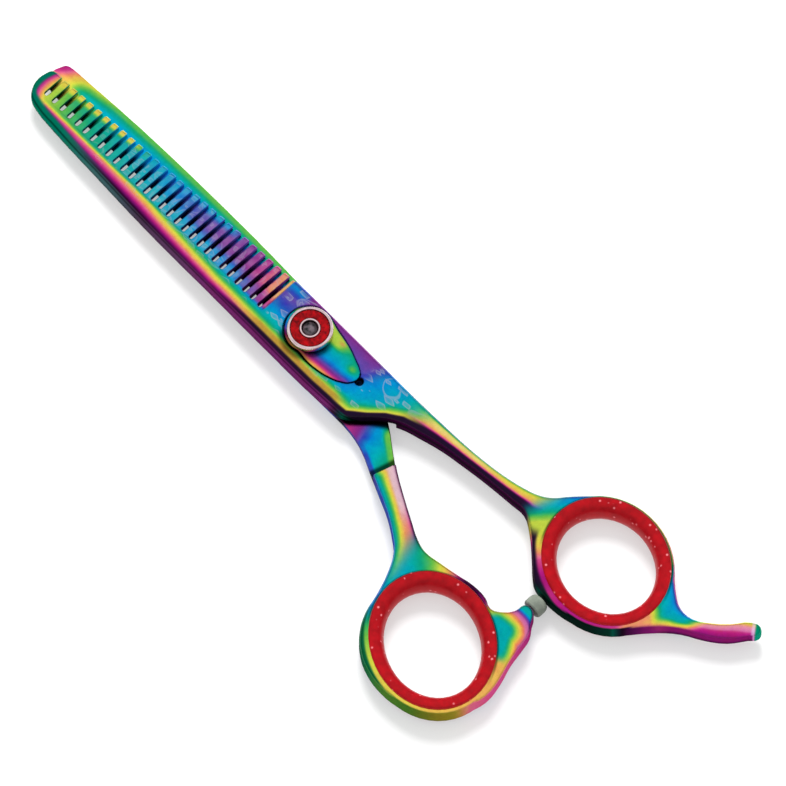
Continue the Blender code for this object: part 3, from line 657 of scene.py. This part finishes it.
def comb_gaps(x, y, wall):
    """Where the sides of the teeth are, and their film, painted shade and painted glow: the shade is darkest
    at the roots.
    """
    gap = wall * smoothstep(-8, -9.5, x) * smoothstep(-3.6, -2.6, y)
    film = film_colour(np.interp(x, (-66, -56, -44, -30, -14), (0.62, 0.74, 0.80, 0.86, 0.98)))
    bright = blend(1.0, np.interp(y, (1.0, 4.0), (0.2, 0.8)), gap)
    glow = gap * np.interp(y, (1.4, 2.4, 4.0), (0.0, 0.12, 0.3)) * blend(0.4, 1.0, smoothstep(-30, -50, x))
    return gap, film, bright, glow


def comb_colour(points, soft, sharp):
    """Film colour, shade, wall and glow over the comb half."""
    x, y, z = points.T
    depth = y - edge_line(points, -70, 14, -1)(np.clip(x, -69.5, 13.5))
    bands = back_bands(x, depth)
    body = comb_body_film(x, y, depth, bands)
    blade = mix(comb_blade_film(points, bands), body, smoothstep(-18, -8, x) * smoothstep(3.0, 2.0, depth))
    colour = mix(blade, body, smoothstep(-9.2, -8.8, x))
    colour = mix(colour, comb_shank_film(points), smoothstep(22, 29, x))
    colour = mix(colour, finger_ring_film(points, soft), smoothstep(50.5, 54.5, x - 0.35 * (y - 6)))
    colour = mix(colour, finger_rest_film(points), smoothstep(82.5, 85.5, x - 0.3 * (y - 8)))

    # The back of the comb, by the way down round it from the face, with the dark lines that it mirrors
    # painted in as shade.
    thinning = np.interp(x, (-70.6, -8.4, 14, 36, 84, 98), (0.52, 1, 1, 0.88, 0.88, 0.66))
    girth = depth - (PART_Z + COMB_THICKNESS * thinning - z)
    back, lines = comb_back(x, girth)
    on_back = smoothstep(23, 20, x) * smoothstep(0.75, 0.35, girth)
    near_end = smoothstep(-44, -60, x) * smoothstep(1.9, 1.0, girth)
    colour = mix(colour, back, np.maximum(on_back, near_end))
    shade = blend(1.0, lines, on_back)

    wall = smoothstep(0.80, 0.45, sharp[:, 2])
    colour, shade = comb_walls(colour, shade, points, soft, wall)

    # Painted shade in the gaps between the teeth, in the leaf's pocket (deepest along its lower wall), in the
    # nose hole and where the knob's shadow falls.
    gap, gap_film, gap_bright, glow = comb_gaps(x, y, wall)
    colour = mix(colour, gap_film, gap)
    pocket = wall * span(x, -6.6, -5.6, 13.6, 15.0) * span(y, -5.8, -5.4, 4.6, 5.0)
    pocket_bright = blend(1.0, blend(0.85, 0.08, smoothstep(-0.4, 0.4, soft[:, 1])), pocket)
    from_hole = np.hypot(x - NOSE_HOLE[0], y - NOSE_HOLE[1])
    hole_bright = blend(1.0, 0.04, smoothstep(1.1, 0.85, from_hole) * smoothstep(5.2, 4.9, z))
    shade = shade * gap_bright * knob_shadow(x, y) * pocket_bright * hole_bright
    return colour, shade, wall, glow


# ---------------------------------------------------------------- colours of the cutting half

def cutting_blade_film(points):
    """Bands along the spine, which run out into the tip's, and what shows between the teeth."""
    x, y, _ = points.T
    depth = edge_line(points, -69, 14, 1)(np.clip(x, -68.5, 13.5)) - y
    band = np.interp(depth, (0.0, 0.8, 1.4, 2.0, 2.7), (0.575, 0.60, 0.67, 0.73, 0.78))
    tip = np.interp(x + depth * 0.9, (-69.5, -67.2, -65.0, -61.5, -55.0, -45.0),
                    (0.31, 0.35, 0.46, 0.50, 0.56, 0.60))
    band = np.minimum(band, tip + 0.075 * depth * smoothstep(-67, -62, x))
    between = np.interp(x, (-66, -60, -52, -42, -33, -25, -15, -9),
                        (0.47, 0.60, 0.74, 0.82, 0.90, 0.91, 0.96, 1.02))
    return film_colour(blend(band, between, smoothstep(2.2, 3.6, depth)))


def cutting_neck_film(x, y):
    """The neck, with a green upper edge and a blue lower one."""
    phase = np.interp(x + 0.25 * (y + 5), (17.0, 18.8, 20.0, 21.6, 24.0, 26.5),
                      (1.05, 1.00, 0.88, 0.79, 0.73, 0.65))
    below = (np.interp(x, (15.0, 21.9, 26.6, 30.7), (2.0, -1.6, -5.0, -7.75)) - y) * 0.81
    upper_phase = np.interp(below, (0.0, 0.9, 1.6), (0.57, 0.59, 0.66))
    phase = blend(phase, upper_phase, smoothstep(1.9, 0.9, below) * smoothstep(21.0, 23.5, x))
    above = (y - np.interp(x, (18.2, 22.2, 26.2, 30.7), (-7.35, -8.3, -10.1, -12.25))) * 0.9
    return film_colour(blend(phase, 0.87, smoothstep(0.8, 0.2, above) * smoothstep(21, 24, x)))


def cutting_shank_film(points):
    """Stripes along the shank, with a painted pale pink highlight near its upper edge."""
    across = share_across(points, (29, 47), (29, 44))
    phase = np.interp(across, (0.0, 0.07, 0.14, 0.24, 0.40, 0.56, 0.68, 0.80, 0.92, 1.0),
                      (0.20, 0.22, 0.36, 0.40, 0.43, 0.50, 0.59, 0.68, 0.76, 0.90))
    # Painted highlight: pale pink near the shank's upper edge.
    pale = span(across, 0.08, 0.16, 0.36, 0.52) * smoothstep(40, 35, points[:, 0])
    return mix(film_colour(phase), PINK_HIGHLIGHT, 0.8 * pale)


def lug_film(x, y):
    """Bands round the middle of the lug, wider towards the ring."""
    up = y - LUG_CENTRE[1]
    right = x - LUG_CENTRE[0] + np.where(up > 0, -0.1, 0.7) * up
    reach = np.hypot(right / np.where(right > 0, 1.7, 4.5), up / np.where(up > 0, 1.65, 4.0))
    phase = np.interp(reach, (0.85, 1.3, 1.75, 2.25, 2.65, 2.95, 3.2, 3.45),
                      (1.38, 1.28, 1.20, 1.12, 1.05, 0.96, 0.80, 0.70))
    return mix(film_colour(phase), ROSE, 0.5 * span(reach, 2.2, 2.5, 2.75, 2.95))


def thumb_ring_film(points, soft):
    """The rim by the angle about the ring's centre, and the lug on it."""
    x, y, _ = points.T
    turn = azimuth(x, y, THUMB_CENTRE)
    phase = np.interp(turn,
                      (0, 25, 40, 75, 82, 95, 108, 118, 128, 138, 150, 165, 180, 195,
                       210, 225, 250, 270, 300, 330, 360),
                      (0.45, 0.46, 0.47, 0.52, 0.36, 0.23, 0.23, 0.38, 0.50, 0.60, 0.71, 0.75, 0.73, 0.67,
                       0.62, 0.56, 0.51, 0.49, 0.48, 0.46, 0.45))
    phase = phase + 0.22 * np.clip(outward(soft, turn) - 0.15, 0, 0.8) * span(turn, 138, 150, 195, 215)
    on_lug = span(turn, 24, 34, 66, 76) * smoothstep(-21.5, -18.5, y + 0.35 * (x - 66))
    ring = mix(film_colour(phase), lug_film(x, y), on_lug)
    beyond = oval_distance(x, y, THUMB_CENTRE, THUMB_OVAL, THUMB_TILT)
    ring = mix(ring, BOTTLE_GREEN, span(turn, 172, 190, 262, 285) * smoothstep(0.5, 0.95, beyond))
    return ring * lining_shadow(beyond, turn)


def thumb_ring_wall(turn):
    """The film on the ring's wall, and the greens that cover it round the lower half."""
    phase = np.interp(turn,
                      (0, 30, 50, 70, 90, 110, 128, 145, 160, 180, 200, 215, 235,
                       255, 280, 305, 328, 345, 360),
                      (0.36, 0.36, 0.34, 0.26, 0.22, 0.22, 0.50, 0.56, 0.90, 0.90, 0.70, 0.64, 0.61,
                       0.575, 0.54, 0.53, 0.46, 0.38, 0.36))
    green = mix(SEA_GREEN, LEAF_GREEN, smoothstep(238, 280, turn))
    green = mix(green, MUSTARD, smoothstep(290, 322, turn))
    return film_colour(phase), green


def cutting_walls(colour, shade, points, soft, wall):
    """Lays the film of the upright walls over the faces': it differs with the way that they face, as does the
    painted shade that darkens the walls.
    """
    x, y, _ = points.T
    turn = azimuth(x, y, THUMB_CENTRE)
    on_ring = wall * smoothstep(41, 45, x)
    ring_wall, green = thumb_ring_wall(turn)
    ring_dim = np.interp(turn,
                         (0, 30, 60, 90, 128, 160, 180, 200, 215, 235, 255, 280, 305, 328, 345, 360),
                         (0.95, 0.9, 0.7, 0.7, 0.6, 0.6, 0.5, 0.6, 0.55, 0.6, 0.65, 0.5, 0.45, 0.6, 0.85,
                          0.95))
    colour = mix(colour, ring_wall, on_ring)
    colour = mix(colour, green, wall * span(turn, 188, 205, 328, 345))
    shade = blend(shade, ring_dim, on_ring)
    facing_up = soft[:, 1] > 0
    on_shank = wall * span(x, 29, 31, 41, 45)
    colour = mix(colour, film_colour(np.where(facing_up, 0.20, 0.88)), on_shank)
    shade = blend(shade, 0.7, on_shank)
    on_neck = wall * span(x, 10, 12, 29, 31)
    colour = mix(colour, film_colour(np.where(facing_up, 0.24, 0.90)), on_neck)
    shade = blend(shade, 0.6, on_neck)
    return colour, shade


def cutting_colour(points, soft, sharp):
    """Film colour, shade, wall and glow over the cutting half."""
    x, y, z = points.T
    from_axis = np.hypot(x, y)
    colour = mix(cutting_blade_film(points), cutting_neck_film(x, y), smoothstep(14, 17, x))
    beyond_step = smoothstep(29.0, 29.8, from_axis) * smoothstep(26, 27, x)
    colour = mix(colour, cutting_shank_film(points), beyond_step)
    colour = mix(colour, thumb_ring_film(points, soft), smoothstep(39.5, 44.5, x + 0.2 * (y + 16)))

    # Painted shade over the blade, darkest towards its cutting edge.
    shade = np.where(x < -8, np.interp(y, (-0.3, 0.8, 1.8, 2.8, 3.8), (0.06, 0.16, 0.5, 0.9, 1.0)), 1.0)
    wall = smoothstep(0.78, 0.42, sharp[:, 2])
    colour, shade = cutting_walls(colour, shade, points, soft, wall)
    underside = smoothstep(-0.1, -0.6, sharp[:, 2])
    colour = mix(colour, film_colour(blend(0.60, 0.86, smoothstep(-60, 60, x))), underside * 0.6)

    # Painted shade: the comb half's shadow on the seam beside it, and a dark reflection painted at the foot
    # of the step in the shank;
    # between the teeth's ends there is a faint painted glow.
    seam = smoothstep(1.9, 1.0, -neck_depth(x + 1.0, y)) * span(x, 13, 15, 25.5, 27)
    step_foot = span(from_axis, 27.6, 28.4, 29.9, 30.3) * smoothstep(3.6, 3.2, z) * (x > 20)
    shade = shade * blend(1.0, 0.05, seam) * blend(1.0, 0.12, step_foot)
    glow = (x < -8) * span(y, 1.4, 3.0, 3.8, 4.6) * blend(0.06, 0.2, smoothstep(-30, -50, x))
    return colour, shade, wall, glow


# ---------------------------------------------------------------- colours of the leaf spring

def leaf_colour(points, soft, sharp):
    """Film colour and shade over the leaf spring, which has no walls or glow of its own: the knob's painted
    shadow and painted shade on its lower wall.
    """
    x, y, _ = points.T
    slanted = y + 0.07 * np.clip(8.0 - x, -4, 4)
    phase = np.interp(slanted, (-4.3, -3.9, -3.5, -3.1, -2.5, -1.8, -0.9, 0.6, 1.8, 3.0),
                      (1.20, 1.16, 1.11, 1.05, 0.96, 0.84, 0.77, 0.71, 0.66, 0.60))
    phase = blend(phase, 0.54, smoothstep(8.4, 5.2, x) * smoothstep(0.4, 1.8, y))
    phase = blend(phase, 0.56, 0.8 * np.exp(-((x - 10.6) ** 2 / 1.6 + (y - 0.3) ** 2 / 0.9)))
    amber_spot = 0.6 * np.exp(-((x - 5.9) ** 2 / 0.5 + (y - 2.5) ** 2 / 0.16))
    colour = mix(film_colour(phase), AMBER, amber_spot)
    upper_edge = smoothstep(0.92, 0.7, sharp[:, 2]) * smoothstep(0.0, 0.4, soft[:, 1])
    colour = mix(colour, film_colour(0.74), upper_edge)
    lower_wall = smoothstep(0.1, -0.3, soft[:, 1]) * smoothstep(0.6, 0.2, sharp[:, 2])
    shade = knob_shadow(x, y) * blend(1.0, 0.2, lower_wall)
    return colour, shade, np.zeros_like(x), np.zeros_like(x)


# ---------------------------------------------------------------- etched areas

def comb_etching(points, sharp):
    """Where the leafy tracery is: dense beside the knob, faint over the blade."""
    x, y, _ = points.T
    beside = span(x, -8.6, -7.6, -3.4, -2.0) * smoothstep(-4.6, -3.6, y)
    beyond = span(x, 12.6, 14.6, 22.5, 28.0) * smoothstep(1.2, 2.2, neck_depth(x, y))
    below = 0.55 * span(x, 3.0, 6.0, 11.0, 13.0) * span(y, -5.4, -5.0, -4.2, -3.4)
    faint = 0.5 * span(x, -60.0, -48.0, -10.0, -9.0) * smoothstep(-4.2, -3.2, y)
    return np.maximum.reduce((beside, beyond, below, faint)) * smoothstep(0.9, 0.97, sharp[:, 2])


def no_etching(points, sharp):
    return np.zeros(len(points))


# ---------------------------------------------------------------- visible pieces

def hand_over(obj, node, body, material):
    """Gives a finished piece its material, hides the solid that it stands in for and attaches it to the body
    that carries it.
    """
    obj.data.materials.append(material)
    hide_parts(node)
    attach(obj, body)


def close_leaf_gap(mesh):
    """Moves the leaf's upper and round sides out to the pocket's wall, against which the spring lies."""
    points = coordinates(mesh)
    facing = normals(mesh)
    outer = np.hypot(points[:, 0], points[:, 1]) > 3.5 * MM
    share = smoothstep(-0.1, 0.3, facing[:, 1] - 0.4 * facing[:, 0]) * outer * (points[:, 0] < 12.0 * MM)
    points[:, :2] += LEAF_GAP * MM * share[:, None] * facing[:, :2]
    mesh.vertices.foreach_set("co", points.astype(np.float32).ravel())
    mesh.update()


def steel_piece(node, name, body, material, voxel, colour_of, etching_of=no_etching, reshape=None):
    """A dense copy of a steel solid, with the values that the film's material reads."""
    obj = dense_copy(node, name, voxel)
    mesh = obj.data
    if reshape:
        reshape(mesh)
    sharp = diffuse(mesh, normals(mesh), 1)
    soft = diffuse(mesh, normals(mesh), 12)
    points = coordinates(mesh) / MM
    colour, shade, wall, glow = colour_of(points, soft, sharp)
    put_colour(mesh, "coat", colour)
    put_attribute(mesh, "shade", np.clip(shade, 0.0, 1.0))
    put_attribute(mesh, "wall", wall)
    put_attribute(mesh, "glow", glow)
    put_attribute(mesh, "etched", etching_of(points, sharp))
    hand_over(obj, node, body, material)


def smooth_piece(node, name, body, material, bevel=0.0):
    """A copy of a solid as it is, with its edges rounded where a bevel is given."""
    obj = welded_copy(node, name)
    if bevel:
        rounded = obj.modifiers.new("Round", "BEVEL")
        rounded.width = bevel * MM
        rounded.segments = 3
        rounded.limit_method = "ANGLE"
        rounded.angle_limit = math.radians(35)
        apply_modifiers(obj)
    obj.data.shade_smooth()
    obj.data.set_sharp_from_angle(angle=math.radians(40))
    hand_over(obj, node, body, material)
    return obj


def ring_lining(node, name, body, material, centre, semi, degrees):
    """The plastic lining, with painted shadow along the upper left of its outer edge and a painted glow that
    is strongest on its upright walls.
    """
    obj = smooth_piece(node, name, body, material, bevel=0.15)
    x, y, _ = (coordinates(obj.data) / MM).T
    inside = -oval_distance(x, y, centre, semi, degrees)
    turn = azimuth(x, y, centre)
    dim = smoothstep(0.5, 0.0, inside) * span(turn, 30, 60, 200, 230)
    put_attribute(obj.data, "shade", 1.0 - 0.6 * dim)
    put_attribute(obj.data, "glow", blend(0.36, 0.17, smoothstep(0.2, 0.8, normals(obj.data)[:, 2])))


film_steel = film_material()
steel_piece("comb_blade", "comb_half_steel", "comb_half", film_steel, 0.16, comb_colour, comb_etching)
steel_piece("cutting_blade", "cutting_half_steel", "cutting_half", film_steel, 0.16, cutting_colour)
steel_piece("leaf_spring", "tension_leaf", "comb_half", film_steel, 0.12, leaf_colour, reshape=close_leaf_gap)

red_glitter = glitter_plastic()
ring_lining("finger_ring_insert", "finger_ring_lining", "comb_half", red_glitter,
            FINGER_CENTRE, FINGER_OVAL, FINGER_TILT)
ring_lining("thumb_ring_insert", "thumb_ring_lining", "cutting_half", red_glitter,
            THUMB_CENTRE, THUMB_OVAL, THUMB_TILT)
silver = metal("turned_silver", (0.82, 0.72, 0.74), (0.97, 0.88, 0.89), 0.22)
smooth_piece("tension_knob", "tension_knob_metal", "knob", silver, bevel=0.08)
anodised = metal("red_anodised_inlay", (0.30, 0.0, 0.02), (0.60, 0.015, 0.045), 0.5, scale=1300.0,
                 metallic=0.0, specular=0.1)
smooth_piece("knob_inlay", "knob_inlay_ring", "knob", anodised, bevel=0.08)
dark_steel = metal("dark_bolt_steel", (0.10, 0.13, 0.13), (0.52, 0.47, 0.50), 0.25, scale=1100.0)
smooth_piece("pivot_bolt", "pivot_bolt_dome", "cutting_half", dark_steel, bevel=0.05)
rubber = metal("soft_silicone", (0.40, 0.43, 0.39), (0.52, 0.55, 0.50), 0.55, metallic=0.0, bump_height=0.1)
smooth_piece("stop_bumper", "stop_bumper_plug", "cutting_half", rubber, bevel=0.15)
white_nylon = metal("nylon", (0.80, 0.79, 0.74), (0.88, 0.87, 0.83), 0.45, metallic=0.0)
smooth_piece("pivot_bush", "nylon_bush", "comb_half", white_nylon)
smooth_piece("ride_washer", "nylon_ride_washer", "comb_half", white_nylon)
grey_steel = metal("spring_steel", (0.42, 0.43, 0.45), (0.60, 0.60, 0.62), 0.25)
smooth_piece("thrust_washer", "steel_thrust_washer", "comb_half", grey_steel)
smooth_piece("click_washer", "steel_click_washer", "click", grey_steel)


# ---------------------------------------------------------------- floor, light and camera

VIEW_AZIMUTH = math.radians(45.7)
VIEW_ELEVATION = math.radians(68.0)
VIEW_WIDTH = 141.5
VIEW_CENTRE = (18.258, 3.057, 3.183)


def add_floor():
    """A plain floor just under the shears, with a little light of its own that keeps it white."""
    mesh = bpy.data.meshes.new("floor")
    work = bmesh.new()
    bmesh.ops.create_grid(work, x_segments=1, y_segments=1, size=1.5)
    work.to_mesh(mesh)
    work.free()
    floor = bpy.data.objects.new("floor", mesh)
    floor.location = (0.02, 0.0, -0.0001)
    bpy.context.scene.collection.objects.link(floor)
    made, _, shader = new_material("pale_floor")
    shader.inputs["Base Color"].default_value = (0.5, 0.5, 0.5, 1.0)
    shader.inputs["Roughness"].default_value = 0.9
    shader.inputs["Specular IOR Level"].default_value = 0.0
    shader.inputs["Emission Color"].default_value = (1.0, 1.0, 1.0, 1.0)
    shader.inputs["Emission Strength"].default_value = 0.42
    mesh.materials.append(made)


def add_area(name, place, aim, size, watts):
    """A round lamp that the steel doesn't mirror."""
    data = bpy.data.lights.new(name, "AREA")
    data.shape = "DISK"
    data.size = size
    data.energy = watts
    lamp = bpy.data.objects.new(name, data)
    lamp.visible_glossy = False
    lamp.location = place
    lamp.rotation_euler = (Vector(aim) - Vector(place)).to_track_quat("-Z", "Y").to_euler()
    bpy.context.scene.collection.objects.link(lamp)


def add_camera():
    """A very long lens far away, so that the view is all but parallel."""
    back = Vector((math.sin(VIEW_AZIMUTH) * math.cos(VIEW_ELEVATION),
                   -math.cos(VIEW_AZIMUTH) * math.cos(VIEW_ELEVATION),
                   math.sin(VIEW_ELEVATION)))
    data = bpy.data.cameras.new("camera")
    data.lens = 1500.0
    data.sensor_width = 36.0
    data.clip_start = 1.0
    data.clip_end = 20.0
    camera = bpy.data.objects.new("camera", data)
    distance = VIEW_WIDTH * MM * data.lens / data.sensor_width
    camera.location = Vector(VIEW_CENTRE) * MM + back * distance
    camera.rotation_euler = (-back).to_track_quat("-Z", "Y").to_euler()
    bpy.context.scene.collection.objects.link(camera)
    bpy.context.scene.camera = camera


def add_world():
    """A white room: brightest overhead, greyer at the horizon and below it."""
    world = bpy.data.worlds.new("studio")
    world.use_nodes = True
    tree = world.node_tree
    height = tree.nodes.new("ShaderNodeSeparateXYZ")
    tree.links.new(tree.nodes.new("ShaderNodeTexCoord").outputs["Generated"], height.inputs["Vector"])
    tone = two_tone(tree, height.outputs["Z"], 0.05, 0.75,
                    (0.45, 0.45, 0.47, 1.0), (1.0, 1.0, 1.0, 1.0))
    background = tree.nodes["Background"]
    tree.links.new(tone, background.inputs["Color"])
    background.inputs["Strength"].default_value = 0.95
    bpy.context.scene.world = world


add_floor()
add_world()
middle = Vector((18.0, 0.0, 0.0)) * MM
add_area("key", middle + Vector((-0.36, 0.35, 0.62)), middle, 0.38, 8.0)
add_camera()
bpy.context.scene.view_settings.view_transform = "Standard"
